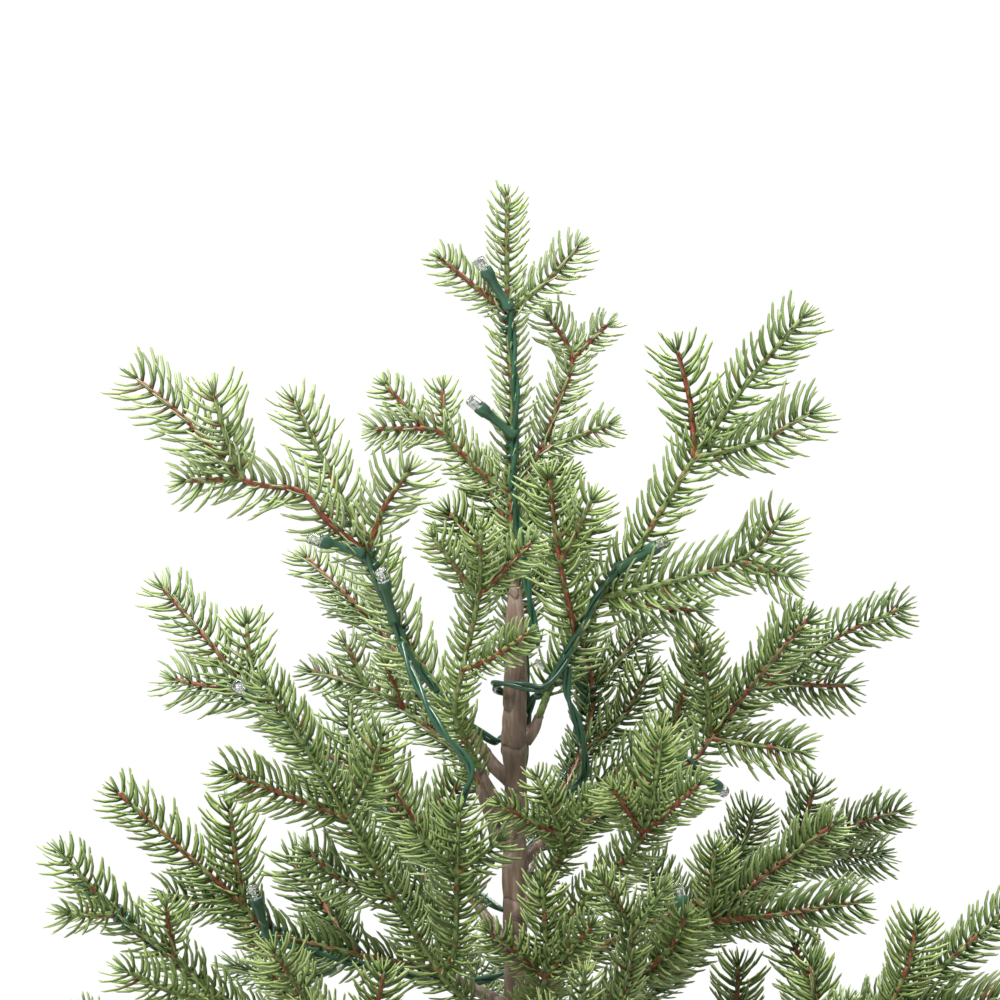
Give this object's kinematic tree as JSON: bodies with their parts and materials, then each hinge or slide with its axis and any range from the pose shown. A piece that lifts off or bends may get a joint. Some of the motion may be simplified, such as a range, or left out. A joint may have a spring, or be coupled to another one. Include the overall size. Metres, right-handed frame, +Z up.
{
  "type": "artificial tabletop tree",
  "caption": "Small artificial spruce with moulded sprays on bendable wired branches, a wired lamp string, and a weighted base in a burlap wrap",
  "frame": {"origin": "centre of the base's flat underside, on the trunk's axis", "axes": "+Z up along the trunk, -Y towards the front, +X to the right seen from the front"},
  "size_m": [0.3705, 0.3402, 0.594],
  "materials": {
    "stem": "moulded polyethylene, green with rust-brown paint on the stems",
    "lead": "dark green PVC, satin",
    "tape": "grey-brown florist tape wound over wires, semi-gloss",
    "steel": "plain steel rod",
    "burlap": "plain-weave jute burlap",
    "twine": "twisted jute twine",
    "tub": "black moulded polypropylene",
    "cement": "cast cement, rough",
    "moss": "dried moss mat",
    "socket": "dark green moulded plastic",
    "case": "dark green ABS, fine texture",
    "cell": "printed sleeve without lettering",
    "contact": "nickel-plated spring steel",
    "switch": "black ABS",
    "strap": "dark green nylon"
  },
  "bodies": {
    "trunk": {"burlap_wrap": "burlap", "twine_tie": "twine", "base_tub": "tub", "cement_ballast": "cement", "moss_disc": "moss", "trunk_socket": "socket", "trunk_rod": "steel", "trunk_wrap": "tape", "trunk_lead": "lead", "battery_case": "case", "case_strap": "strap", "battery_cell_1": "cell", "battery_cell_2": "cell", "battery_cell_3": "cell", "contact_springs": "contact", "contact_plate": "contact"},
    "leader": {"leader": "stem", "lamp_lead_00": "lead"},
    "branch_01": {"branch_01": "stem", "lamp_lead_01": "lead"},
    "branch_02": {"branch_02": "stem"},
    "branch_03": {"branch_03": "stem", "lamp_lead_03": "lead"},
    "branch_04": {"branch_04": "stem"},
    "branch_05": {"branch_05": "stem"},
    "branch_06": {"branch_06": "stem", "lamp_lead_06": "lead"},
    "branch_07": {"branch_07": "stem", "lamp_lead_07": "lead"},
    "branch_08": {"branch_08": "stem", "lamp_lead_08": "lead"},
    "branch_09": {"branch_09": "stem"},
    "branch_10": {"branch_10": "stem"},
    "branch_11": {"branch_11": "stem", "lamp_lead_11": "lead"},
    "branch_12": {"branch_12": "stem"},
    "branch_13": {"branch_13": "stem", "lamp_lead_13": "lead"},
    "branch_14": {"branch_14": "stem"},
    "branch_15": {"branch_15": "stem"},
    "branch_16": {"branch_16": "stem"},
    "branch_17": {"branch_17": "stem", "lamp_lead_17": "lead"},
    "branch_18": {"branch_18": "stem"},
    "branch_19": {"branch_19": "stem"},
    "branch_20": {"branch_20": "stem"},
    "branch_21": {"branch_21": "stem"},
    "branch_22": {"branch_22": "stem", "lamp_lead_22": "lead"},
    "branch_23": {"branch_23": "stem"},
    "branch_24": {"branch_24": "stem", "lamp_lead_24": "lead"},
    "branch_25": {"branch_25": "stem", "lamp_lead_25": "lead"},
    "branch_26": {"branch_26": "stem"},
    "branch_27": {"branch_27": "stem"},
    "branch_28": {"branch_28": "stem"},
    "branch_29": {"branch_29": "stem"},
    "battery_cover": {"battery_cover": "case"},
    "switch": {"switch_slider": "switch"}
  },
  "joints": [
    {"name": "leader_bend", "type": "hinge", "parent": "trunk", "child": "leader", "pos_m": [0, 0, 0.446], "axis": [0, 1, 0], "range_deg": [-12, 12]},
    {"name": "branch_01_bend", "type": "hinge", "parent": "trunk", "child": "branch_01", "pos_m": [0.00896, -0.00158, 0.393], "axis": [-0.1736, -0.9848, 0], "range_deg": [-15, 8]},
    {"name": "branch_02_bend", "type": "hinge", "parent": "trunk", "child": "branch_02", "pos_m": [-0.00788, -0.00455, 0.362], "axis": [-0.5, 0.866, 0], "range_deg": [-15, 15]},
    {"name": "branch_03_bend", "type": "hinge", "parent": "trunk", "child": "branch_03", "pos_m": [-0.0091, 0, 0.376], "axis": [0, 1, 0], "range_deg": [-15, 10]},
    {"name": "branch_04_bend", "type": "hinge", "parent": "trunk", "child": "branch_04", "pos_m": [-0.00844, 0.00341, 0.352], "axis": [0.3746, 0.9272, 0], "range_deg": [-15, 15]},
    {"name": "branch_05_bend", "type": "hinge", "parent": "trunk", "child": "branch_05", "pos_m": [-0.00879, -0.00235, 0.268], "axis": [-0.2588, 0.9659, 0], "range_deg": [-15, 10]},
    {"name": "branch_06_bend", "type": "hinge", "parent": "trunk", "child": "branch_06", "pos_m": [-0.00697, 0.00585, 0.31], "axis": [0.6428, 0.766, 0], "range_deg": [-15, 10]},
    {"name": "branch_07_bend", "type": "hinge", "parent": "trunk", "child": "branch_07", "pos_m": [-0.00896, -0.00158, 0.232], "axis": [-0.1736, 0.9848, 0], "range_deg": [-20, 15]},
    {"name": "branch_08_bend", "type": "hinge", "parent": "trunk", "child": "branch_08", "pos_m": [-0.00907, 0.00079, 0.285], "axis": [0.0872, 0.9962, 0], "range_deg": [-15, 15]},
    {"name": "branch_09_bend", "type": "hinge", "parent": "trunk", "child": "branch_09", "pos_m": [0.00455, -0.00788, 0.322], "axis": [-0.866, -0.5, 0], "range_deg": [-15, 15]},
    {"name": "branch_10_bend", "type": "hinge", "parent": "trunk", "child": "branch_10", "pos_m": [0.00643, -0.00643, 0.298], "axis": [-0.7071, -0.7071, 0], "range_deg": [-20, 15]},
    {"name": "branch_11_bend", "type": "hinge", "parent": "trunk", "child": "branch_11", "pos_m": [0.00907, 0.00079, 0.324], "axis": [0.0872, -0.9962, 0], "range_deg": [-20, 6]},
    {"name": "branch_12_bend", "type": "hinge", "parent": "trunk", "child": "branch_12", "pos_m": [0.00745, 0.00522, 0.342], "axis": [0.5736, -0.8192, 0], "range_deg": [-15, 15]},
    {"name": "branch_13_bend", "type": "hinge", "parent": "trunk", "child": "branch_13", "pos_m": [0.00901, -0.00127, 0.262], "axis": [-0.1392, -0.9903, 0], "range_deg": [-10, 12]},
    {"name": "branch_14_bend", "type": "hinge", "parent": "trunk", "child": "branch_14", "pos_m": [0.00804, 0.00427, 0.288], "axis": [0.4695, -0.8829, 0], "range_deg": [-15, 15]},
    {"name": "branch_15_bend", "type": "hinge", "parent": "trunk", "child": "branch_15", "pos_m": [0.00883, -0.0022, 0.214], "axis": [-0.2419, -0.9703, 0], "range_deg": [-20, 5]},
    {"name": "branch_16_bend", "type": "hinge", "parent": "trunk", "child": "branch_16", "pos_m": [-0.00079, -0.00907, 0.276], "axis": [-0.9962, 0.0872, 0], "range_deg": [-12, 15]},
    {"name": "branch_17_bend", "type": "hinge", "parent": "trunk", "child": "branch_17", "pos_m": [0.00281, -0.00865, 0.24], "axis": [-0.9511, -0.309, 0], "range_deg": [-20, 9]},
    {"name": "branch_18_bend", "type": "hinge", "parent": "trunk", "child": "branch_18", "pos_m": [-0.00482, -0.00772, 0.222], "axis": [-0.848, 0.5299, 0], "range_deg": [-20, 15]},
    {"name": "branch_19_bend", "type": "hinge", "parent": "trunk", "child": "branch_19", "pos_m": [0.00772, -0.00482, 0.2], "axis": [-0.5299, -0.848, 0], "range_deg": [-20, 15]},
    {"name": "branch_20_bend", "type": "hinge", "parent": "trunk", "child": "branch_20", "pos_m": [-0.00772, -0.00482, 0.196], "axis": [-0.5299, 0.848, 0], "range_deg": [-20, 8]},
    {"name": "branch_21_bend", "type": "hinge", "parent": "trunk", "child": "branch_21", "pos_m": [-0.00079, 0.00907, 0.402], "axis": [0.9962, 0.0872, 0], "range_deg": [-15, 12]},
    {"name": "branch_22_bend", "type": "hinge", "parent": "trunk", "child": "branch_22", "pos_m": [0.00341, 0.00844, 0.33], "axis": [0.9272, -0.3746, 0], "range_deg": [-15, 15]},
    {"name": "branch_23_bend", "type": "hinge", "parent": "trunk", "child": "branch_23", "pos_m": [-0.00341, 0.00844, 0.272], "axis": [0.9272, 0.3746, 0], "range_deg": [-15, 15]},
    {"name": "branch_24_bend", "type": "hinge", "parent": "trunk", "child": "branch_24", "pos_m": [0.00482, 0.00772, 0.244], "axis": [0.848, -0.5299, 0], "range_deg": [-15, 15]},
    {"name": "branch_25_bend", "type": "hinge", "parent": "trunk", "child": "branch_25", "pos_m": [-0.0056, 0.00717, 0.222], "axis": [0.788, 0.6157, 0], "range_deg": [-15, 15]},
    {"name": "branch_26_bend", "type": "hinge", "parent": "trunk", "child": "branch_26", "pos_m": [-0.0089, 0.00189, 0.188], "axis": [0.2079, 0.9781, 0], "range_deg": [-15, 15]},
    {"name": "branch_27_bend", "type": "hinge", "parent": "trunk", "child": "branch_27", "pos_m": [0.00855, 0.00311, 0.176], "axis": [0.342, -0.9397, 0], "range_deg": [-15, 15]},
    {"name": "branch_28_bend", "type": "hinge", "parent": "trunk", "child": "branch_28", "pos_m": [-0.00158, -0.00896, 0.168], "axis": [-0.9848, 0.1736, 0], "range_deg": [-15, 15]},
    {"name": "branch_29_bend", "type": "hinge", "parent": "trunk", "child": "branch_29", "pos_m": [0.00095, 0.00905, 0.206], "axis": [0.9945, -0.1045, 0], "range_deg": [-12, 15]},
    {"name": "battery_cover_slide", "type": "slide", "parent": "trunk", "child": "battery_cover", "axis": [0, 0, 1], "range_m": [0, 0.018]},
    {"name": "switch_slide", "type": "slide", "parent": "trunk", "child": "switch", "axis": [1, 0, 0], "range_m": [0, 0.003]}
  ]
}
